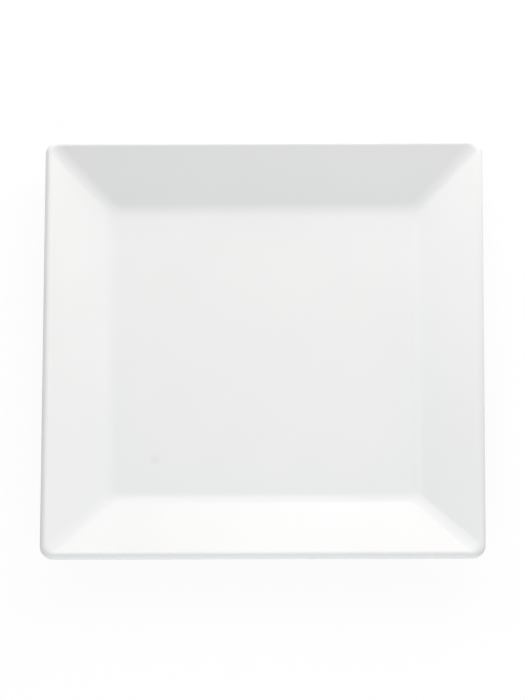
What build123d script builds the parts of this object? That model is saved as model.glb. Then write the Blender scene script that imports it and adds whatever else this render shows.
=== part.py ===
from build123d import *
from math import cos, radians, sin, tan
from typing import NamedTuple
import os

# Square dinner plate of glazed porcelain, in millimetres.
# Origin: middle of the standing face of the foot ring, +Z up, sides along X and Y.

# Driving dimensions of the glazed plate
PLATE_SIDE = 267.0            # over the lip, side to side
PLATE_CORNER_RADIUS = 8.6     # outer corners, seen from above
RIM_WIDTH = 41.2              # level distance from the side of the plate to the sharp edge of the well
RIM_SLOPE = 18.8              # degrees, rim panels from level
RIM_THICKNESS = 4.6           # rim panels, square to their slope
RIM_CORNER_RADIUS = 6.2       # rounding between two rim panels at the lip, seen from above
LIP_TOP_RADIUS = 3.1          # wide rounding from the rim panels over the top of the lip
LIP_UNDER_RADIUS = 1.25       # tighter rounding of the lip into the underside
WELL_CORNER_RADIUS = 1.5      # corners of the flat floor of the well
CREASE_RADIUS = 24.0          # soft bend between the floor and the rim panels
FLOOR_THICKNESS = 5.0         # well floor to the ceiling of the recess below
RECESS_DEPTH = 2.0            # standing face to the ceiling of the recess
RECESS_CORNER_RADIUS = 3.0    # corners of the recess
RECESS_ROOT_RADIUS = 0.8      # blend of the foot ring into the ceiling of the recess
FOOT_HEIGHT = 3.0             # outer wall of the foot ring, up to the underside of the rim
FOOT_WIDTH = 6.0              # wall of the foot ring
FOOT_ROOT_RADIUS = 1.2        # blend of the foot ring into the underside of the rim
FOOT_EDGE_RADIUS = 0.8        # edges of the standing face

# Coat of glaze
GLAZE_THICKNESS = 0.3
BARE_FOOT_HEIGHT = 0.9        # the glaze is wiped off the foot up to here

# Shares that keep a fillet inside its wall
LIP_SHARE = 0.95              # of the rim thickness, for both roundings of the lip together
WALL_SHARE = 0.45             # of a low wall or a tight corner

MATCH = 0.05                  # how near the ends of an edge lie to the ring that it is looked up by


class Ring(NamedTuple):
    """One rounded square of the plate's outline, level and centred on the plate."""

    half: float
    height: float
    corner: float
    fillet: float


def well_ring(inset):
    """Sharp edge of the well, where the floor and the rim panels meet."""
    bend = tan(radians(RIM_SLOPE) / 2)
    edge = PLATE_SIDE / 2 - RIM_WIDTH
    corner_centre = edge - WELL_CORNER_RADIUS - CREASE_RADIUS * bend
    half = edge + inset * bend
    height = RECESS_DEPTH + FLOOR_THICKNESS - inset
    return Ring(half, height, half - corner_centre, CREASE_RADIUS + inset)


def lip_radii():
    """Upper and lower rounding of the lip, drawn in where the rim is too thin for both."""
    fit = min(1.0, LIP_SHARE * RIM_THICKNESS / (LIP_TOP_RADIUS + LIP_UNDER_RADIUS))
    return fit * LIP_TOP_RADIUS, fit * LIP_UNDER_RADIUS


def lip_rings(inset):
    """Upper and lower edge of the rim's square end, before the lip is rounded."""
    slope = radians(RIM_SLOPE)
    top_radius, under_radius = lip_radii()
    overhang = (RIM_THICKNESS - under_radius) * sin(slope) + under_radius * (1 - cos(slope))
    half = PLATE_SIDE / 2 - overhang
    floor_height = RECESS_DEPTH + FLOOR_THICKNESS
    height = floor_height + (half - PLATE_SIDE / 2 + RIM_WIDTH) * tan(slope)
    upper_edge = (inset, top_radius, half - RIM_CORNER_RADIUS)
    lower_edge = (RIM_THICKNESS - inset, under_radius, PLATE_SIDE / 2 - PLATE_CORNER_RADIUS)

    rings = []
    for depth, radius, corner_centre in (upper_edge, lower_edge):
        ring_half = half - inset * cos(slope) + depth * sin(slope)
        ring_height = height - inset * sin(slope) - depth * cos(slope)
        rings.append(Ring(ring_half, ring_height, ring_half - corner_centre, radius - inset))
    return rings


def foot_rings(inset):
    """Root, two edges of the standing face, and inner root of the foot ring."""
    slope = radians(RIM_SLOPE)
    under_edge = lip_rings(0.0)[1]
    foot_half = under_edge.half - (under_edge.height - FOOT_HEIGHT) / tan(slope)
    recess_half = foot_half - FOOT_WIDTH
    corner_centre = recess_half - RECESS_CORNER_RADIUS

    outer = foot_half - inset
    inner = recess_half + inset
    root_height = FOOT_HEIGHT + inset / cos(slope) - inset * tan(slope)
    recess_height = RECESS_DEPTH + inset
    standing_height = inset - GLAZE_THICKNESS
    outer_corner = outer - corner_centre
    inner_corner = inner - corner_centre
    root_fillet = min(FOOT_ROOT_RADIUS, WALL_SHARE * FOOT_HEIGHT)
    recess_fillet = min(RECESS_ROOT_RADIUS, WALL_SHARE * RECESS_DEPTH, WALL_SHARE * RECESS_CORNER_RADIUS)
    edge_fillet = min(FOOT_EDGE_RADIUS, WALL_SHARE * RECESS_DEPTH, WALL_SHARE * FOOT_WIDTH)
    return [
        Ring(outer, root_height, outer_corner, root_fillet + inset),
        Ring(outer, standing_height, outer_corner, edge_fillet - inset),
        Ring(inner, standing_height, inner_corner, edge_fillet - inset),
        Ring(inner, recess_height, inner_corner, recess_fillet + inset),
    ]


def ring_wire(ring):
    """Closed wire along a ring."""
    square = RectangleRounded(2 * ring.half, 2 * ring.half, ring.corner)
    return Pos(0, 0, ring.height) * square.wire()


def ring_edges(solid, ring):
    """Edges of a solid whose ends lie on a ring."""

    def ends_on_ring(edge):
        ends = edge.vertices()
        off_level = max(abs(end.Z - ring.height) for end in ends)
        off_side = max(abs(max(abs(end.X), abs(end.Y)) - ring.half) for end in ends)
        return max(off_level, off_side) < MATCH

    return solid.edges().filter_by(ends_on_ring)


def plate_solid(inset):
    """The plate, moved in from its glazed surface by inset: rings joined by straight lines, then rounded."""
    rings = [well_ring(inset), *lip_rings(inset), *foot_rings(inset)]
    solid = Solid.make_loft([ring_wire(ring) for ring in rings], ruled=True)
    for ring in rings:
        solid = fillet(ring_edges(solid, ring), ring.fillet).solid()
    return solid.clean()


def wiped_block():
    """Block below the line down to which the foot is glazed."""
    reach = 2 * PLATE_SIDE
    block = Box(reach, reach, reach, align=(Align.CENTER, Align.CENTER, Align.MAX))
    return Pos(0, 0, BARE_FOOT_HEIGHT) * block


# The clay body ends at the standing face. The coat lies between it and the glazed surface, and the bare
# foot parts it into one coat inside the foot ring and one round the rest.
porcelain_body = plate_solid(GLAZE_THICKNESS)
coat = plate_solid(0.0) - porcelain_body - wiped_block()
recess_glaze, outer_glaze = coat.solids().sort_by(Axis.Z)

os.makedirs("parts", exist_ok=True)
export_step(porcelain_body, "parts/porcelain_body.step")
export_step(outer_glaze, "parts/outer_glaze.step")
export_step(recess_glaze, "parts/recess_glaze.step")
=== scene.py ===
"""Square dinner plate of glazed white porcelain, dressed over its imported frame.

The plate is a fired clay body under two coats of glaze. Each piece is one closed surface: a rounded
section of the plate is carried round a rounded square, and its corners tighten towards the well.
All sizes are in metres, in the frame's own axes: +Z up, the plate standing on z = 0.
"""

from __future__ import annotations

import logging
import math
from dataclasses import dataclass
from enum import Enum

import bpy
import numpy as np
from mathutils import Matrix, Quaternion, Vector

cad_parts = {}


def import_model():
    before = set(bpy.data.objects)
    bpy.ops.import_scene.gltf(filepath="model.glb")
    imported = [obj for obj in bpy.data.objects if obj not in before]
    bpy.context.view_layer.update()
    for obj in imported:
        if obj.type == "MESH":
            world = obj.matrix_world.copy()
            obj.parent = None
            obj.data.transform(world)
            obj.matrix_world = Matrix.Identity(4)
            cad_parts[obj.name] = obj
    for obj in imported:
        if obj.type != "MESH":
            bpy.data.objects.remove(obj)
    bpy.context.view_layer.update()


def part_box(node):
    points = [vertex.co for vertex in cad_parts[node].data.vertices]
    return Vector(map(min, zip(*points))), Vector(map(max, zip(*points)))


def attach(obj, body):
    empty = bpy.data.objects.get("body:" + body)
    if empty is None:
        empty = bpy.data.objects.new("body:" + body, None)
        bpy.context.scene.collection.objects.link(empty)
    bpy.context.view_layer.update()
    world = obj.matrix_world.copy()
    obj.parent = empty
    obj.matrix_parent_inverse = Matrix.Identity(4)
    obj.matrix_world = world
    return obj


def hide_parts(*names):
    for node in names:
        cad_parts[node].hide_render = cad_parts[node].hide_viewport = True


LOG = logging.getLogger("square_plate")
MM = 0.001
ROOT_BODY = "root"
POOLING = "glaze_pooling"
LEAST_POOLING_REACH = 2.0 * MM
MITRE_POOLING = 0.5
WIPED_EDGE_SHARE = 0.45
Rgb = tuple[float, float, float]
NEUTRAL_TINT: Rgb = (1.0, 1.0, 1.0)
WARM_TINT: Rgb = (1.0, 0.96, 0.95)
COOL_TINT: Rgb = (0.9, 0.98, 1.0)


class Node(Enum):
    """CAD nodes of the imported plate."""

    BODY = "porcelain_body"
    OUTER = "outer_glaze"
    RECESS = "recess_glaze"


class Slot(Enum):
    """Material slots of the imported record."""

    CLAY = "bare_porcelain"
    GLAZE = "white_glaze"


@dataclass(frozen=True)
class Corner:
    """One sharp corner of the plate's section, before it is rounded.

    half is the distance from the plate's middle to its side, centre the distance from there to the
    middle of the rounding in plan, fillet the radius in section, and pooling says how glaze gathers:
    above 0 where it runs together, below 0 where it thins. arc_steps and run_steps say how finely the
    rounding and the straight run before it are sampled.
    """

    half: float
    height: float
    centre: float
    fillet: float = 0.0
    pooling: float = 0.0
    arc_steps: int = 1
    run_steps: int = 4


@dataclass(frozen=True)
class PlateSizes:
    """Sizes of the glazed plate, the same as those of its solids."""

    side: float
    corner_radius: float = 8.6 * MM
    rim_width: float = 41.2 * MM
    rim_slope: float = math.radians(18.8)
    rim_thickness: float = 4.6 * MM
    rim_corner: float = 6.2 * MM
    lip_top: float = 3.1 * MM
    lip_under: float = 1.25 * MM
    well_corner: float = 1.5 * MM
    crease_radius: float = 24.0 * MM
    floor_thickness: float = 5.0 * MM
    recess_depth: float = 2.0 * MM
    recess_corner: float = 3.0 * MM
    recess_root: float = 0.8 * MM
    foot_height: float = 3.0 * MM
    foot_width: float = 6.0 * MM
    foot_root: float = 1.2 * MM
    foot_edge: float = 0.8 * MM
    glaze: float = 0.3 * MM
    bare_foot: float = 0.9 * MM

    @property
    def floor(self) -> float:
        """Height of the well floor."""
        return self.recess_depth + self.floor_thickness

    @property
    def foot_half(self) -> float:
        """Half side over the foot ring, where its wall meets the underside of the rim."""
        under = self.lip_edges(0.0)[1]
        return under.half - (under.height - self.foot_height) / math.tan(self.rim_slope)

    @property
    def foot_centre(self) -> float:
        """Middle of the rounded corners of the foot ring, in plan."""
        return self.foot_half - self.foot_width - self.recess_corner

    def well(self, inset: float) -> Corner:
        """Edge of the well at a depth under the glazed surface.

        Args:
            inset: Depth under the glazed surface.

        Returns:
            The sharp corner between the floor and the rim panels.
        """
        bend = math.tan(self.rim_slope / 2)
        edge = self.side / 2 - self.rim_width
        centre = edge - self.well_corner - self.crease_radius * bend
        half, height = edge + inset * bend, self.floor - inset
        fillet = self.crease_radius + inset
        return Corner(half, height, centre, fillet, pooling=1.0, arc_steps=20, run_steps=22)

    def lip_edges(self, inset: float) -> tuple[Corner, Corner]:
        """Two edges of the rim's square end at a depth under the glazed surface.

        Args:
            inset: Depth under the glazed surface.

        Returns:
            The upper and the lower corner, whose fillets all but meet.
        """
        across, up = math.sin(self.rim_slope), math.cos(self.rim_slope)
        overhang = (self.rim_thickness - self.lip_under) * across + self.lip_under * (1 - up)
        half = self.side / 2 - overhang
        height = self.floor + (half - self.side / 2 + self.rim_width) * math.tan(self.rim_slope)

        def edge(depth: float, centre: float, radius: float, pooling: float, run_steps: int) -> Corner:
            """Corner of the square end, a depth down from the rim panel."""
            place = half - inset * up + depth * across, height - inset * across - depth * up
            return Corner(*place, centre, radius - inset, pooling, arc_steps=18, run_steps=run_steps)

        upper_centre = half - self.rim_corner
        lower_centre = self.side / 2 - self.corner_radius
        lower_depth = self.rim_thickness - inset
        upper = edge(inset, upper_centre, self.lip_top, pooling=-1.0, run_steps=18)
        lower = edge(lower_depth, lower_centre, self.lip_under, pooling=-0.6, run_steps=1)
        return upper, lower

    def root(self, inset: float) -> Corner:
        """Blend of the foot ring into the underside of the rim.

        Args:
            inset: Depth under the glazed surface.

        Returns:
            The corner between the underside and the outer wall of the foot.
        """
        rise = inset / math.cos(self.rim_slope) - inset * math.tan(self.rim_slope)
        half, height = self.foot_half - inset, self.foot_height + rise
        fillet = self.foot_root + inset
        return Corner(half, height, self.foot_centre, fillet, pooling=0.8, arc_steps=10, run_steps=14)

    def recess(self, inset: float) -> Corner:
        """Blend of the foot ring into the ceiling of the recess.

        Args:
            inset: Depth under the glazed surface.

        Returns:
            The corner between the ceiling and the inner wall of the foot.
        """
        half, height = self.foot_half - self.foot_width + inset, self.recess_depth + inset
        fillet = self.recess_root + inset
        return Corner(half, height, self.foot_centre, fillet, pooling=0.8, arc_steps=10, run_steps=4)


class RoundedSquare:
    """The square path that a section is carried round.

    Each point of the path is centre * m(u) + radius * n(u): n turns a quarter at each corner and
    stands still along each side, while m is the corner's place and slides from one corner to the next.
    """

    SIDE_STEPS = 30
    CORNER_STEPS = 16

    def __init__(self) -> None:
        """Works out m, n and the share of each point in a corner's middle."""
        along = (1 - np.cos(np.pi * np.arange(1, self.SIDE_STEPS) / self.SIDE_STEPS)) / 2
        turn = np.linspace(0, 1, self.CORNER_STEPS + 1)
        signs = np.array([(1, 1), (-1, 1), (-1, -1), (1, -1)], float)
        places, angles, middles = [], [], []
        for corner in range(4):
            here, following = signs[corner], signs[(corner + 1) % 4]
            sliding = here + along[:, None] * (following - here)
            places += [np.repeat(here[None], len(turn), axis=0), sliding]
            angles += [(corner + turn) * np.pi / 2, np.full(len(along), (corner + 1) * np.pi / 2)]
            middles += [np.sin(np.pi * turn) ** 2, np.zeros(len(along))]
        angle = np.concatenate(angles)
        self.place = np.concatenate(places)
        self.normal = np.stack([np.cos(angle), np.sin(angle)], axis=1)
        self.middle = np.concatenate(middles)


@dataclass(frozen=True)
class KilnWarp:
    """The slight unevenness that firing leaves in a plate.

    Heights change by slow waves, which fade out towards the table: a sine across the plate times a
    cosine along it, plus a weaker sine along its diagonal.
    """

    depth: float = 0.05 * MM
    wave: float = 0.11
    fade: float = 6.0 * MM
    along_pace: float = 0.83
    diagonal_pace: float = 0.61
    diagonal_share: float = 0.6
    phases: tuple[float, float, float] = (1.1, 0.4, 2.3)

    def applied(self, points: np.ndarray) -> np.ndarray:
        """Adds the waves to points.

        Args:
            points: Rows of x, y and z.

        Returns:
            The points with their heights changed.
        """
        turn = 2 * np.pi / self.wave
        x, y, z = points.T
        across, along, diagonal = self.phases
        crossed = np.sin(turn * x + across) * np.cos(self.along_pace * turn * y + along)
        slanted = self.diagonal_share * np.sin(self.diagonal_pace * turn * (x - y) + diagonal)
        lift = self.depth * (crossed + slanted) * np.clip(z / self.fade, 0, 1)
        return np.column_stack([x, y, z + lift])


@dataclass
class Section:
    """A rounded section of the plate, sampled from its upper pole to its lower pole."""

    half: np.ndarray
    height: np.ndarray
    centre: np.ndarray
    pooling: np.ndarray

    @classmethod
    def through(cls, corners: list[Corner]) -> Section:
        """Rounds a polygon of corners and samples it.

        A run is straight from one rounding to the next, with samples drawn together at its ends. A
        rounding is an arc tangent to both runs. The corner middle in plan changes evenly along a run,
        and along an arc it follows the cubic that has the runs' rates of change at its two ends.

        Args:
            corners: Corners from the upper pole to the lower pole, both with no fillet.

        Returns:
            The sampled section.
        """
        points = np.array([(c.half, c.height) for c in corners])
        centres = np.array([c.centre for c in corners])
        steps = np.diff(points, axis=0)
        lengths = np.linalg.norm(steps, axis=1)
        directions = steps / lengths[:, None]
        rates = np.diff(centres) / lengths
        before, after = directions[:-1], directions[1:]
        cross = before[:, 0] * after[:, 1] - before[:, 1] * after[:, 0]
        turns = np.arctan2(cross, (before * after).sum(axis=1))
        fillets = np.array([c.fillet for c in corners])
        cuts = np.zeros(len(corners))
        cuts[1:-1] = fillets[1:-1] * np.tan(np.abs(turns) / 2)

        samples = [np.append(points[0], centres[0])[None]]
        for k, corner in enumerate(corners[1:], start=1):
            start = points[k - 1] + directions[k - 1] * cuts[k - 1]
            end = points[k] - directions[k - 1] * cuts[k]
            first = centres[k - 1] + rates[k - 1] * cuts[k - 1]
            last = centres[k] - rates[k - 1] * cuts[k]
            share = (1 - np.cos(np.pi * np.arange(1, corner.run_steps + 1) / corner.run_steps)) / 2
            run = start + share[:, None] * (end - start)
            samples.append(np.column_stack([run, first + share * (last - first)]))
            if k == len(corners) - 1 or cuts[k] == 0:
                continue
            both_rates = rates[k - 1: k + 1]
            samples.append(cls._arc(end, directions[k - 1], turns[k - 1], corner, last, both_rates))
        half, height, centre = np.concatenate(samples).T
        return cls(half, height, centre, cls._pooling(corners, half, height))

    @staticmethod
    def _arc(
        start: np.ndarray,
        heading: np.ndarray,
        turn: float,
        corner: Corner,
        middle: float,
        rates: np.ndarray,
    ) -> np.ndarray:
        """Samples the arc that rounds a corner.

        Args:
            start: Point where the arc leaves its run.
            heading: Direction of the run there.
            turn: Angle of the arc, above 0 to the left.
            corner: The corner that is rounded.
            middle: Corner middle in plan at the start.
            rates: Rates of change of the corner middle on the two runs.

        Returns:
            Rows of half, height and corner middle, without the start itself.
        """
        share = np.arange(1, corner.arc_steps + 1) / corner.arc_steps
        side = math.copysign(1.0, turn)
        left = np.array([-heading[1], heading[0]]) * side
        swing = np.abs(turn) * share
        along = np.sin(swing)[:, None] * heading + (1 - np.cos(swing))[:, None] * left
        arc = start + corner.fillet * along
        length = corner.fillet * abs(turn)
        cut = corner.fillet * math.tan(abs(turn) / 2)
        far = middle + (rates[0] + rates[1]) * cut
        rise, fall = share**3 - 2 * share**2 + share, share**3 - share**2
        blend = 3 * share**2 - 2 * share**3
        centre = middle + blend * (far - middle) + length * (rise * rates[0] + fall * rates[1])
        return np.column_stack([arc, centre])

    @staticmethod
    def _pooling(corners: list[Corner], half: np.ndarray, height: np.ndarray) -> np.ndarray:
        """How glaze gathers along the section: a soft bell round each corner that has any.

        Args:
            corners: The section's corners.
            half: Sampled distances from the middle.
            height: Sampled heights.

        Returns:
            Pooling per sample, from -1 to 1.
        """
        total = np.zeros(len(half))
        for corner in corners:
            reach = max(corner.fillet, LEAST_POOLING_REACH) / 2
            distance = np.hypot(half - corner.half, height - corner.height)
            total += corner.pooling * np.exp(-((distance / reach) ** 2))
        return np.clip(total, -1, 1)

    def carried_round(self, name: str, path: RoundedSquare) -> bpy.types.Object:
        """Carries the section round the square path into one closed mesh.

        The point at sample v of the section and u of the path is centre(v) * m(u) + (half(v) -
        centre(v)) * n(u), at height(v). The first and last samples are single points.

        Args:
            name: Name of the piece.
            path: The rounded square.

        Returns:
            A new smooth object with the pooling kept as an attribute.
        """
        radius = self.half - self.centre
        plan = self.centre[1:-1, None, None] * path.place + radius[1:-1, None, None] * path.normal
        rows, columns = plan.shape[:2]
        height = np.repeat(self.height[1:-1, None], columns, axis=1)
        ring_points = np.concatenate([plan, height[..., None]], axis=2).reshape(-1, 3)
        poles = np.array([(0, 0, self.height[0]), (0, 0, self.height[-1])])
        points = KilnWarp().applied(np.concatenate([ring_points, poles]))

        index = np.arange(rows * columns).reshape(rows, columns)
        onward = np.roll(index, -1, axis=1)
        quads = np.stack([index[:-1], index[1:], onward[1:], onward[:-1]], axis=2).reshape(-1, 4)
        top = np.full(columns, rows * columns)
        upper = np.stack([top, index[0], onward[0]], axis=1)
        lower = np.stack([top + 1, onward[-1], index[-1]], axis=1)

        mesh = bpy.data.meshes.new(name)
        mesh.from_pydata(points.tolist(), [], quads.tolist() + upper.tolist() + lower.tolist())
        mesh.shade_smooth()
        mitre = np.clip(self.pooling[1:-1, None] + MITRE_POOLING * path.middle, -1, 1).ravel()
        values = np.concatenate([mitre, self.pooling[[0, -1]]]).astype(np.float32)
        mesh.attributes.new(POOLING, "FLOAT", "POINT").data.foreach_set("value", values)
        mesh.validate()
        piece = bpy.data.objects.new(name, mesh)
        bpy.context.scene.collection.objects.link(piece)
        return piece


class NodeTree:
    """Short calls to fill a shader node tree."""

    def __init__(self, tree: bpy.types.NodeTree) -> None:
        """Keeps the tree, which may be a material's, the world's or a group's."""
        self.tree = tree

    def add(self, kind: str, **settings: object) -> bpy.types.Node:
        """Adds a node.

        Args:
            kind: The node's type name.
            settings: Properties to set on the node.

        Returns:
            The new node.
        """
        node = self.tree.nodes.new(kind)
        for name, value in settings.items():
            setattr(node, name, value)
        return node

    def feed(self, socket: bpy.types.NodeSocket, value: object) -> None:
        """Gives a socket a link or a plain value.

        Args:
            socket: The input to feed.
            value: An output socket, a number or a colour.
        """
        if isinstance(value, bpy.types.NodeSocket):
            self.tree.links.new(value, socket)
        else:
            socket.default_value = value

    def maths(
        self, operation: str, first: object, second: object = 0.0, clamp: bool = False
    ) -> bpy.types.NodeSocket:
        """Adds a Math node.

        Args:
            operation: Blender's name of the operation.
            first: First number or socket.
            second: Second number or socket.
            clamp: Keep the result from 0 to 1.

        Returns:
            The result's socket.
        """
        node = self.add("ShaderNodeMath", operation=operation, use_clamp=clamp)
        self.feed(node.inputs[0], first)
        self.feed(node.inputs[1], second)
        return node.outputs[0]

    def mixed(self, share: object, first: object, second: object) -> bpy.types.NodeSocket:
        """Mixes two colours.

        Args:
            share: Share of the second colour.
            first: First colour or socket.
            second: Second colour or socket.

        Returns:
            The mixed colour's socket.
        """
        node = self.add("ShaderNodeMix", data_type="RGBA")
        colours = [socket for socket in node.inputs if socket.type == "RGBA"]
        self.feed(node.inputs[0], share)
        self.feed(colours[0], first)
        self.feed(colours[1], second)
        return next(socket for socket in node.outputs if socket.type == "RGBA")

    def ranged(
        self, value: object, low: float, high: float, to_low: float, to_high: float
    ) -> bpy.types.NodeSocket:
        """Maps a value smoothly from one range to another.

        Args:
            value: The value's socket.
            low: Start of its range.
            high: End of its range.
            to_low: Result at the start.
            to_high: Result at the end.

        Returns:
            The mapped value's socket.
        """
        node = self.add("ShaderNodeMapRange", interpolation_type="SMOOTHSTEP")
        for socket, given in zip(node.inputs, (value, low, high, to_low, to_high)):
            self.feed(socket, given)
        return node.outputs[0]


def rgba(colour: Rgb) -> tuple[float, float, float, float]:
    """A colour with full alpha, for a node socket."""
    return (*colour, 1.0)


class Effects:
    """Shader effects that both finishes share, each built once as a node group."""

    MOTTLE_DETAIL = 3.0

    def __init__(self) -> None:
        """Builds the groups."""
        self.mottle = self._mottle()
        self.specks = self._specks()

    @staticmethod
    def _group(
        name: str, inputs: dict[str, float], output: str
    ) -> tuple[NodeTree, bpy.types.Node, bpy.types.Node]:
        """Starts a group with number inputs and one value output.

        Args:
            name: Name of the group.
            inputs: Input names with their defaults.
            output: Name of the output.

        Returns:
            The group's tree, its input node and its output node.
        """
        tree = bpy.data.node_groups.new(name, "ShaderNodeTree")
        for label, value in inputs.items():
            socket = tree.interface.new_socket(label, in_out="INPUT", socket_type="NodeSocketFloat")
            socket.default_value = value
        tree.interface.new_socket(output, in_out="OUTPUT", socket_type="NodeSocketFloat")
        graph = NodeTree(tree)
        return graph, graph.add("NodeGroupInput"), graph.add("NodeGroupOutput")

    def _mottle(self) -> bpy.types.NodeTree:
        """Cloudy variation: noise on the piece's own coordinates, from 1 - Amount to 1 + Amount.

        Returns:
            The group.
        """
        graph, given, result = self._group("cloudy_mottle", {"Scale": 20.0, "Amount": 0.02}, "Tone")
        place = graph.add("ShaderNodeTexCoord").outputs["Object"]
        noise = graph.add("ShaderNodeTexNoise")
        noise.inputs["Detail"].default_value = self.MOTTLE_DETAIL
        graph.feed(noise.inputs["Vector"], place)
        graph.feed(noise.inputs["Scale"], given.outputs["Scale"])
        centred = graph.maths("SUBTRACT", noise.outputs["Fac"], 0.5)
        spread = graph.maths("MULTIPLY", centred, graph.maths("MULTIPLY", given.outputs["Amount"], 2.0))
        graph.feed(result.inputs["Tone"], graph.maths("ADD", spread, 1.0))
        return graph.tree

    def _specks(self) -> bpy.types.NodeTree:
        """Sparse soft dots, one in the middle of a share of the cells of a scattered grid.

        Returns:
            The group.
        """
        inputs = {"Scale": 90.0, "Share": 0.02, "Radius": 0.06}
        graph, given, result = self._group("kiln_specks", inputs, "Mask")
        place = graph.add("ShaderNodeTexCoord").outputs["Object"]
        cells = graph.add("ShaderNodeTexVoronoi", feature="F1")
        graph.feed(cells.inputs["Vector"], place)
        graph.feed(cells.inputs["Scale"], given.outputs["Scale"])
        draw = graph.add("ShaderNodeSeparateColor")
        graph.feed(draw.inputs[0], cells.outputs["Color"])
        chosen = graph.maths("LESS_THAN", draw.outputs[0], given.outputs["Share"])
        inside = graph.maths("DIVIDE", cells.outputs["Distance"], given.outputs["Radius"])
        dot = graph.maths("SUBTRACT", 1.0, inside, clamp=True)
        graph.feed(result.inputs["Mask"], graph.maths("MULTIPLY", chosen, dot))
        return graph.tree

    @staticmethod
    def place(graph: NodeTree, group: bpy.types.NodeTree, **values: float) -> bpy.types.NodeSocket:
        """Places a group in a material with its own values.

        Args:
            graph: The material's tree.
            group: The effect.
            values: Numbers for the group's inputs.

        Returns:
            The effect's output socket.
        """
        node = graph.add("ShaderNodeGroup", node_tree=group)
        for name, value in values.items():
            node.inputs[name].default_value = value
        return node.outputs[0]


@dataclass(frozen=True)
class GlazeFinish:
    """Clear gloss glaze over white clay, a little cooler where it pools and warmer where it thins."""

    white: Rgb = (0.864, 0.86, 0.856)
    pooled: Rgb = (0.854, 0.857, 0.857)
    thin: Rgb = (0.862, 0.857, 0.848)
    tint_share: float = 0.6
    cloud_scale: float = 26.0
    cloud_amount: float = 0.012
    roughness: float = 0.12
    polish_scale: float = 70.0
    polish_amount: float = 0.18
    refraction: float = 1.5
    ripple: float = 0.004 * MM
    ripple_scale: float = 160.0
    ripple_amount: float = 0.5
    speck: Rgb = (0.42, 0.38, 0.34)
    speck_scale: float = 60.0
    speck_share: float = 0.5
    speck_radius: float = 0.022
    speck_depth: float = 0.35
    mark_place: tuple[float, float, float] = (-65.3 * MM, -67.7 * MM, 7.0 * MM)
    mark_radius: float = 4.3 * MM
    mark_depth: float = 0.1

    def material(self, effects: Effects) -> bpy.types.Material:
        """Builds the glaze.

        Args:
            effects: The shared node groups.

        Returns:
            The material.
        """
        material = bpy.data.materials.new("white_gloss_glaze")
        material.use_nodes = True
        graph = NodeTree(material.node_tree)
        shader = material.node_tree.nodes["Principled BSDF"]
        pooling = graph.add("ShaderNodeAttribute", attribute_name=POOLING).outputs["Fac"]
        thick = graph.maths("MULTIPLY", pooling, self.tint_share, clamp=True)
        thinned = graph.maths("MULTIPLY", pooling, -self.tint_share, clamp=True)
        tint = graph.mixed(thick, rgba(self.white), rgba(self.pooled))
        tint = graph.mixed(thinned, tint, rgba(self.thin))
        cloud = effects.place(graph, effects.mottle, Scale=self.cloud_scale, Amount=self.cloud_amount)
        tone = graph.add("ShaderNodeVectorMath", operation="SCALE")
        graph.feed(tone.inputs[0], tint)
        graph.feed(tone.inputs["Scale"], cloud)
        dots = self._faint_specks(graph, effects)
        faint = graph.maths("MAXIMUM", dots, self._kiln_mark(graph))
        graph.feed(shader.inputs["Base Color"], graph.mixed(faint, tone.outputs[0], rgba(self.speck)))
        polish = effects.place(graph, effects.mottle, Scale=self.polish_scale, Amount=self.polish_amount)
        graph.feed(shader.inputs["Roughness"], graph.maths("MULTIPLY", polish, self.roughness))
        shader.inputs["IOR"].default_value = self.refraction
        waves = effects.place(graph, effects.mottle, Scale=self.ripple_scale, Amount=self.ripple_amount)
        bump = graph.add("ShaderNodeBump")
        bump.inputs["Strength"].default_value = 1.0
        bump.inputs["Distance"].default_value = self.ripple
        graph.feed(bump.inputs["Height"], waves)
        graph.feed(shader.inputs["Normal"], bump.outputs[0])
        return material

    def _faint_specks(self, graph: NodeTree, effects: Effects) -> bpy.types.NodeSocket:
        """Mask of the pinpoint specks in the glaze.

        Args:
            graph: The material's tree.
            effects: The shared node groups.

        Returns:
            The mask's socket.
        """
        spread = {"Scale": self.speck_scale, "Share": self.speck_share, "Radius": self.speck_radius}
        dots = effects.place(graph, effects.specks, **spread)
        return graph.maths("MULTIPLY", dots, self.speck_depth)

    def _kiln_mark(self, graph: NodeTree) -> bpy.types.NodeSocket:
        """Mask of one faint round mark on the well floor, which fades with the distance from its middle.

        Args:
            graph: The material's tree.

        Returns:
            The mask's socket.
        """
        place = graph.add("ShaderNodeTexCoord").outputs["Object"]
        gap = graph.add("ShaderNodeVectorMath", operation="DISTANCE")
        graph.feed(gap.inputs[0], place)
        graph.feed(gap.inputs[1], self.mark_place)
        return graph.ranged(gap.outputs["Value"], 0.0, self.mark_radius, self.mark_depth, 0.0)


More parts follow.
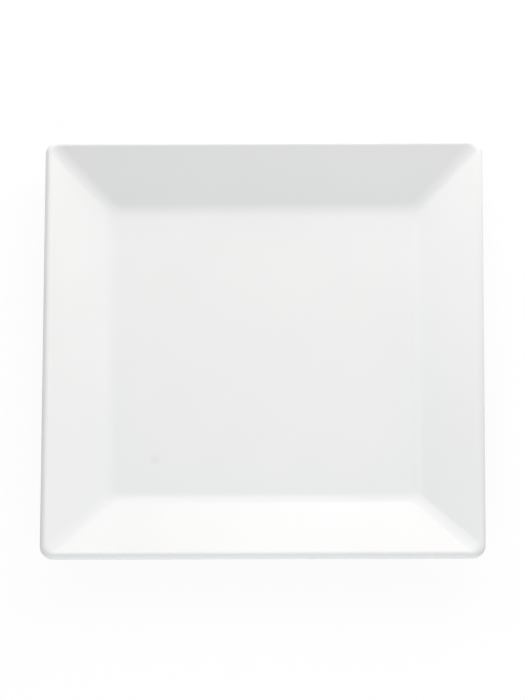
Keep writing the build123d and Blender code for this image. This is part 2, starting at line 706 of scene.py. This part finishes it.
@dataclass(frozen=True)
class ClayFinish:
    """Fired clay without glaze: matt, a little warm, fine-grained and rubbed on the standing face."""

    clay: Rgb = (0.80, 0.77, 0.72)
    rubbed: Rgb = (0.62, 0.60, 0.57)
    contact: float = 0.25 * MM
    wear_scale: float = 120.0
    wear_amount: float = 1.0
    wear_from: float = 0.9
    wear_to: float = 1.3
    wear_depth: float = 0.7
    speck: Rgb = (0.36, 0.31, 0.27)
    speck_scale: float = 260.0
    speck_share: float = 0.05
    speck_radius: float = 0.12
    roughness: float = 0.78
    matt_scale: float = 300.0
    matt_amount: float = 0.1
    grain: float = 0.02 * MM
    grain_scale: float = 1800.0
    grain_amount: float = 0.5

    def material(self, effects: Effects) -> bpy.types.Material:
        """Builds the bare clay.

        Args:
            effects: The shared node groups.

        Returns:
            The material.
        """
        material = bpy.data.materials.new("bare_fired_clay")
        material.use_nodes = True
        graph = NodeTree(material.node_tree)
        shader = material.node_tree.nodes["Principled BSDF"]
        place = graph.add("ShaderNodeTexCoord").outputs["Object"]
        split = graph.add("ShaderNodeSeparateXYZ")
        graph.feed(split.inputs[0], place)
        standing = graph.ranged(split.outputs["Z"], 0.0, self.contact, 1.0, 0.0)
        patches = effects.place(graph, effects.mottle, Scale=self.wear_scale, Amount=self.wear_amount)
        rubbing = graph.ranged(patches, self.wear_from, self.wear_to, 0.0, self.wear_depth)
        worn = graph.maths("MULTIPLY", standing, rubbing)
        base = graph.mixed(worn, rgba(self.clay), rgba(self.rubbed))
        spread = {"Scale": self.speck_scale, "Share": self.speck_share, "Radius": self.speck_radius}
        dots = effects.place(graph, effects.specks, **spread)
        graph.feed(shader.inputs["Base Color"], graph.mixed(dots, base, rgba(self.speck)))
        matt = effects.place(graph, effects.mottle, Scale=self.matt_scale, Amount=self.matt_amount)
        graph.feed(shader.inputs["Roughness"], graph.maths("MULTIPLY", matt, self.roughness))
        pores = effects.place(graph, effects.mottle, Scale=self.grain_scale, Amount=self.grain_amount)
        bump = graph.add("ShaderNodeBump")
        bump.inputs["Distance"].default_value = self.grain
        graph.feed(bump.inputs["Height"], pores)
        graph.feed(shader.inputs["Normal"], bump.outputs[0])
        return material


def dressed(
    piece: bpy.types.Object, material: bpy.types.Material, node: Node
) -> bpy.types.Object:
    """Gives a piece its finish and its place in the frame.

    Args:
        piece: The finished mesh object.
        material: Its finish.
        node: The CAD node that it stands for.

    Returns:
        The same piece.
    """
    piece.data.materials.append(material)
    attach(piece, ROOT_BODY)
    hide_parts(node.value)
    LOG.info("%s: %d faces, stands for %s", piece.name, len(piece.data.polygons), node.value)
    return piece


@dataclass(frozen=True)
class ClayBody:
    """The fired clay body, with the bare foot ring that the plate stands on."""

    sizes: PlateSizes
    name: str = "clay_body"

    def section(self) -> Section:
        """Section of the body, from the well floor over lip and foot to the recess.

        Returns:
            The sampled section.
        """
        inset = self.sizes.glaze
        upper, lower = self.sizes.lip_edges(inset)
        root, recess = self.sizes.root(inset), self.sizes.recess(inset)
        edge = self.sizes.foot_edge - inset
        outer_edge = Corner(root.half, 0.0, root.centre, edge, arc_steps=6, run_steps=3)
        inner_edge = Corner(recess.half, 0.0, recess.centre, edge, arc_steps=6, run_steps=6)
        top = Corner(0.0, self.sizes.floor - inset, 0.0)
        bottom = Corner(0.0, recess.height, 0.0, run_steps=14)
        well = self.sizes.well(inset)
        return Section.through([top, well, upper, lower, root, outer_edge, inner_edge, recess, bottom])

    def build(self, path: RoundedSquare, material: bpy.types.Material) -> bpy.types.Object:
        """Builds and dresses the body.

        Args:
            path: The rounded square.
            material: Bare clay.

        Returns:
            The finished piece.
        """
        piece = self.section().carried_round(self.name, path)
        return dressed(piece, material, Node.BODY)


@dataclass(frozen=True)
class OuterCoat:
    """Glaze over the food side, round the lip and down to the wiped line on the foot.

    bead is how far the glaze swells out at the wiped line, and bead_height half the height that the
    swelling takes. seat is the sliver that keeps the coat clear of the clay.
    """

    sizes: PlateSizes
    name: str = "outer_glaze_coat"
    bead: float = 0.1 * MM
    bead_height: float = 0.7 * MM
    seat: float = 0.01 * MM

    def section(self) -> Section:
        """Section of the coat: out along its surface, round the wiped edge and back along the clay.

        Returns:
            The sampled section.
        """
        sizes = self.sizes
        under = sizes.glaze - self.seat
        upper, lower = sizes.lip_edges(0.0)
        inner_upper, inner_lower = sizes.lip_edges(under)
        root, inner_root = sizes.root(0.0), sizes.root(under)
        centre = sizes.foot_centre
        round_off = WIPED_EDGE_SHARE * (sizes.glaze + self.bead)
        swell_height = sizes.bare_foot + 2 * self.bead_height
        top = Corner(0.0, sizes.floor, 0.0)
        swell = Corner(root.half, swell_height, centre, self.bead_height, arc_steps=4, run_steps=3)
        edge = Corner(root.half + self.bead, sizes.bare_foot, centre, round_off, arc_steps=5, run_steps=4)
        back = Corner(inner_root.half, sizes.bare_foot, centre, round_off / 2, arc_steps=3, run_steps=2)
        bottom = Corner(0.0, sizes.floor - under, 0.0, run_steps=14)
        outside = [top, sizes.well(0.0), upper, lower, root, swell, edge]
        inside = [back, inner_root, inner_lower, inner_upper, sizes.well(under), bottom]
        return Section.through(outside + inside)

    def build(self, path: RoundedSquare, material: bpy.types.Material) -> bpy.types.Object:
        """Builds and dresses the coat.

        Args:
            path: The rounded square.
            material: Glaze.

        Returns:
            The finished piece.
        """
        piece = self.section().carried_round(self.name, path)
        return dressed(piece, material, Node.OUTER)


@dataclass(frozen=True)
class RecessCoat:
    """Glaze inside the foot ring, down to the wiped line on its inner wall.

    seat is the sliver that keeps the coat clear of the clay.
    """

    sizes: PlateSizes
    name: str = "recess_glaze_coat"
    seat: float = 0.01 * MM

    def section(self) -> Section:
        """Section of the coat: out along the clay, round the wiped edge and back along its surface.

        Returns:
            The sampled section.
        """
        sizes = self.sizes
        under = sizes.glaze - self.seat
        covered, open_side = sizes.recess(under), sizes.recess(0.0)
        centre = sizes.foot_centre
        round_off = WIPED_EDGE_SHARE * sizes.glaze
        back = Corner(covered.half, sizes.bare_foot, centre, round_off, arc_steps=3, run_steps=3)
        edge = Corner(open_side.half, sizes.bare_foot, centre, round_off, arc_steps=4, run_steps=2)
        top = Corner(0.0, covered.height, 0.0)
        bottom = Corner(0.0, open_side.height, 0.0, run_steps=20)
        return Section.through([top, covered, back, edge, open_side, bottom])

    def build(self, path: RoundedSquare, material: bpy.types.Material) -> bpy.types.Object:
        """Builds and dresses the coat.

        Args:
            path: The rounded square.
            material: Glaze.

        Returns:
            The finished piece.
        """
        piece = self.section().carried_round(self.name, path)
        return dressed(piece, material, Node.RECESS)


@dataclass(frozen=True)
class Softbox:
    """A square area lamp that looks at the middle of the plate.

    azimuth counts in degrees from the back of the plate towards its right, elevation in degrees up from
    level, distance and side are in metres, and power is in watts. Gloss shows only the faint lamps,
    because the strong ones would glare in it from low viewpoints.
    """

    name: str
    azimuth: float
    elevation: float
    distance: float
    side: float
    power: float
    tint: Rgb = NEUTRAL_TINT
    in_gloss: bool = False

    def build(self) -> bpy.types.Object:
        """Hangs the lamp.

        Returns:
            The lamp.
        """
        turn, rise = math.radians(self.azimuth), math.radians(self.elevation)
        away = Vector((math.sin(turn) * math.cos(rise), math.cos(turn) * math.cos(rise), math.sin(rise)))
        light = bpy.data.lights.new(self.name, "AREA")
        light.shape = "SQUARE"
        light.size = self.side
        light.energy = self.power
        light.color = self.tint
        lamp = bpy.data.objects.new(self.name, light)
        lamp.visible_glossy = self.in_gloss
        lamp.location = self.distance * away
        lamp.rotation_euler = (-away).to_track_quat("-Z", "Y").to_euler()
        bpy.context.scene.collection.objects.link(lamp)
        return lamp


@dataclass(frozen=True)
class Studio:
    """Pale floor, white surroundings, soft lamps and the camera of the photograph.

    The camera's azimuth counts in degrees from the front of the plate towards its right, and its focal
    length is in pixels of the picture.
    """

    lamps: tuple[Softbox, ...] = (
        Softbox("back_right_softbox", 30.0, 22.0, distance=1.3, side=0.8, power=12.2, tint=WARM_TINT),
        Softbox("back_left_softbox", -30.0, 22.0, distance=1.3, side=0.8, power=5.3),
        Softbox("close_back_softbox", 20.0, 20.0, distance=0.4, side=0.25, power=0.26),
        Softbox("front_softbox", 180.0, 35.0, distance=0.7, side=0.45, power=1.65, tint=COOL_TINT),
        Softbox("low_front_softbox", 180.0, 10.0, distance=1.3, side=0.4, power=2.4),
        Softbox("high_left_softbox", -30.0, 50.0, distance=1.3, side=0.8, power=1.9, in_gloss=True),
        Softbox("mirrored_softbox", 7.5, 34.0, distance=1.35, side=0.5, power=0.8, in_gloss=True),
        Softbox("under_softbox", 180.0, -80.0, distance=0.7, side=0.45, power=1.3),
    )
    ambient: float = 0.3
    floor_side: float = 30.0
    floor_drop: float = 0.05 * MM
    floor_bounce: float = 0.7
    floor_seen: float = 1.0
    shadow_share: float = 0.08
    camera_azimuth: float = 3.5
    camera_elevation: float = 71.38
    camera_roll: float = -3.5
    camera_distance: float = 3.783
    camera_focal_pixels: float = 6260.0
    picture_height: float = 700.0
    camera_target: tuple[float, float, float] = (-0.39 * MM, -2.45 * MM, 20.0 * MM)

    def build(self, sizes: PlateSizes, path: RoundedSquare) -> None:
        """Sets up everything that isn't the plate.

        Args:
            sizes: Sizes of the plate.
            path: The rounded square.
        """
        self.build_floor(sizes, path)
        self.build_world()
        for lamp in self.lamps:
            lamp.build()
        self.build_camera()
        bpy.context.scene.view_settings.view_transform = "Standard"

    @staticmethod
    def _seen_directly(graph: NodeTree) -> bpy.types.NodeSocket:
        """Tells what is looked at from what only gets light from here.

        Args:
            graph: The tree of the floor or the world.

        Returns:
            A socket that is 1 for rays from the camera, from gloss and through glass, and 0 for others.
        """
        path = graph.add("ShaderNodeLightPath")
        direct = graph.maths("MAXIMUM", path.outputs["Is Camera Ray"], path.outputs["Is Glossy Ray"])
        return graph.maths("MAXIMUM", direct, path.outputs["Is Transmission Ray"])

    def build_floor(self, sizes: PlateSizes, path: RoundedSquare) -> bpy.types.Object:
        """Lays a pale floor that reads white and keeps a faint shadow of the plate.

        The floor is clear from below, and open under the foot ring, so that the underside can be seen.
        It is one row of faces from the outline of the foot to a far wider rounded square.

        Args:
            sizes: Sizes of the plate.
            path: The rounded square.

        Returns:
            The floor.
        """
        opening = sizes.foot_centre * path.place + (sizes.foot_half - sizes.foot_centre) * path.normal
        reach = self.floor_side / 4
        border = reach * path.place + reach * path.normal
        count = len(opening)
        points = np.full((2 * count, 3), -self.floor_drop)
        points[:, :2] = np.concatenate([opening, border])
        inner = np.arange(count)
        onward = np.roll(inner, -1)
        quads = np.stack([inner, inner + count, onward + count, onward], axis=1)
        mesh = bpy.data.meshes.new("studio_floor")
        mesh.from_pydata(points.tolist(), [], quads.tolist())
        mesh.materials.append(self._floor_material())
        floor = bpy.data.objects.new("studio_floor", mesh)
        bpy.context.scene.collection.objects.link(floor)
        return floor

    def _floor_material(self) -> bpy.types.Material:
        """Mixes the white that is seen, a share of shadow, and the clear underside.

        Returns:
            The floor's material.
        """
        material = bpy.data.materials.new("pale_floor")
        material.use_nodes = True
        graph = NodeTree(material.node_tree)
        material.node_tree.nodes.clear()
        seen = self._seen_directly(graph)
        matt = graph.add("ShaderNodeBsdfDiffuse")
        tone = graph.mixed(seen, rgba((self.floor_bounce,) * 3), rgba((self.floor_seen,) * 3))
        graph.feed(matt.inputs["Color"], tone)
        white = graph.add("ShaderNodeEmission")
        mix = graph.add("ShaderNodeMixShader")
        graph.feed(mix.inputs[0], graph.maths("MULTIPLY", seen, 1.0 - self.shadow_share))
        graph.feed(mix.inputs[1], matt.outputs[0])
        graph.feed(mix.inputs[2], white.outputs[0])
        clear = graph.add("ShaderNodeBsdfTransparent")
        sides = graph.add("ShaderNodeMixShader")
        graph.feed(sides.inputs[0], graph.add("ShaderNodeNewGeometry").outputs["Backfacing"])
        graph.feed(sides.inputs[1], mix.outputs[0])
        graph.feed(sides.inputs[2], clear.outputs[0])
        result = graph.add("ShaderNodeOutputMaterial")
        graph.feed(result.inputs["Surface"], sides.outputs[0])
        return material

    def build_world(self) -> None:
        """Surrounds the plate with even light that the camera sees as white."""
        world = bpy.data.worlds.new("white_studio")
        world.use_nodes = True
        graph = NodeTree(world.node_tree)
        background = world.node_tree.nodes["Background"]
        background.inputs["Color"].default_value = rgba(NEUTRAL_TINT)
        seen = self._seen_directly(graph)
        gain = graph.maths("MULTIPLY", seen, 1.0 - self.ambient)
        graph.feed(background.inputs["Strength"], graph.maths("ADD", gain, self.ambient))
        bpy.context.scene.world = world

    def build_camera(self) -> bpy.types.Object:
        """Puts the camera where the photograph was taken.

        Returns:
            The camera.
        """
        turn, rise = math.radians(self.camera_azimuth), math.radians(self.camera_elevation)
        away = Vector((math.sin(turn) * math.cos(rise), -math.cos(turn) * math.cos(rise), math.sin(rise)))
        data = bpy.data.cameras.new("photograph_camera")
        data.lens = data.sensor_width * self.camera_focal_pixels / self.picture_height
        camera = bpy.data.objects.new("photograph_camera", data)
        camera.location = Vector(self.camera_target) + self.camera_distance * away
        roll = Quaternion((0.0, 0.0, 1.0), math.radians(self.camera_roll))
        camera.rotation_mode = "QUATERNION"
        camera.rotation_quaternion = (-away).to_track_quat("-Z", "Y") @ roll
        bpy.context.scene.collection.objects.link(camera)
        bpy.context.scene.camera = camera
        return camera


def main() -> None:
    """Builds the plate over its frame, then the studio round it."""
    logging.basicConfig(level=logging.INFO, format="%(name)s: %(message)s")
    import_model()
    low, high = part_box(Node.OUTER.value)
    sizes = PlateSizes(side=round((high.x - low.x) / MM) * MM)
    path = RoundedSquare()
    effects = Effects()
    glaze = GlazeFinish().material(effects)
    clay = ClayFinish().material(effects)
    ClayBody(sizes).build(path, clay)
    OuterCoat(sizes).build(path, glaze)
    RecessCoat(sizes).build(path, glaze)
    Studio().build(sizes, path)


if __name__ == "__main__":
    main()
